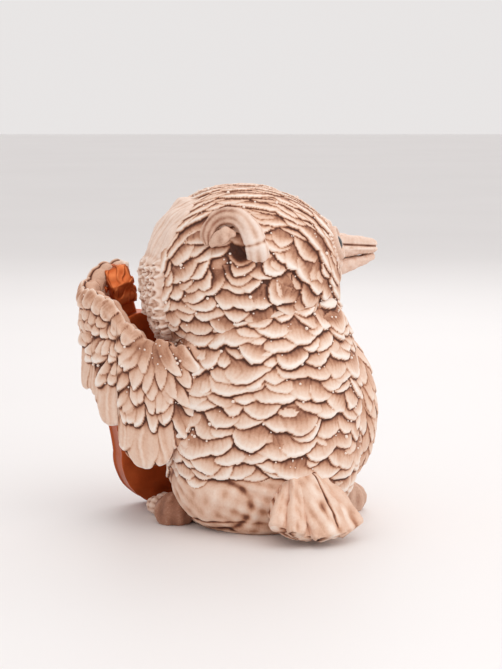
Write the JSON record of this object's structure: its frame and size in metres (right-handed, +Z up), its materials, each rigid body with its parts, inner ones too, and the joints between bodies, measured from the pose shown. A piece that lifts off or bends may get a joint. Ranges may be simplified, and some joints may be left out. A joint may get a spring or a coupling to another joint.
{
  "type": "owl figurine",
  "caption": "Seated owl figurine in washed cast resin, head turned aside, raised wing cupped round the neck of a small copper-coloured cello.",
  "frame": {"origin": "middle of the flat underside, on the axis of the torso", "axes": "+Z up; the owl's body looks along -Y; its left side is +X; the head is turned to its right"},
  "size_m": [0.0706, 0.0657, 0.0825],
  "materials": {
    "resin": "matte",
    "resin_pale": "matte",
    "copper_paint": "satin",
    "string_paint": "satin",
    "eye_paint": "gloss",
    "felt": "matte"
  },
  "bodies": {
    "root": {"torso": "resin", "head": "resin", "face_disc": "resin_pale", "eye_left": "eye_paint", "eye_right": "eye_paint", "beak_upper": "resin_pale", "beak_lower": "resin_pale", "ear_left": "resin_pale", "ear_right": "resin_pale", "nape_crest": "resin_pale", "wing_left": "resin", "wing_right": "resin", "tail": "resin", "foot_left": "resin_pale", "foot_right": "resin_pale", "cello_body": "copper_paint", "cello_neck": "copper_paint", "cello_scroll": "copper_paint", "cello_pegs": "copper_paint", "cello_bridge": "copper_paint", "cello_tailpiece": "copper_paint", "cello_strings": "string_paint", "base_pad": "felt"}
  },
  "joints": []
}
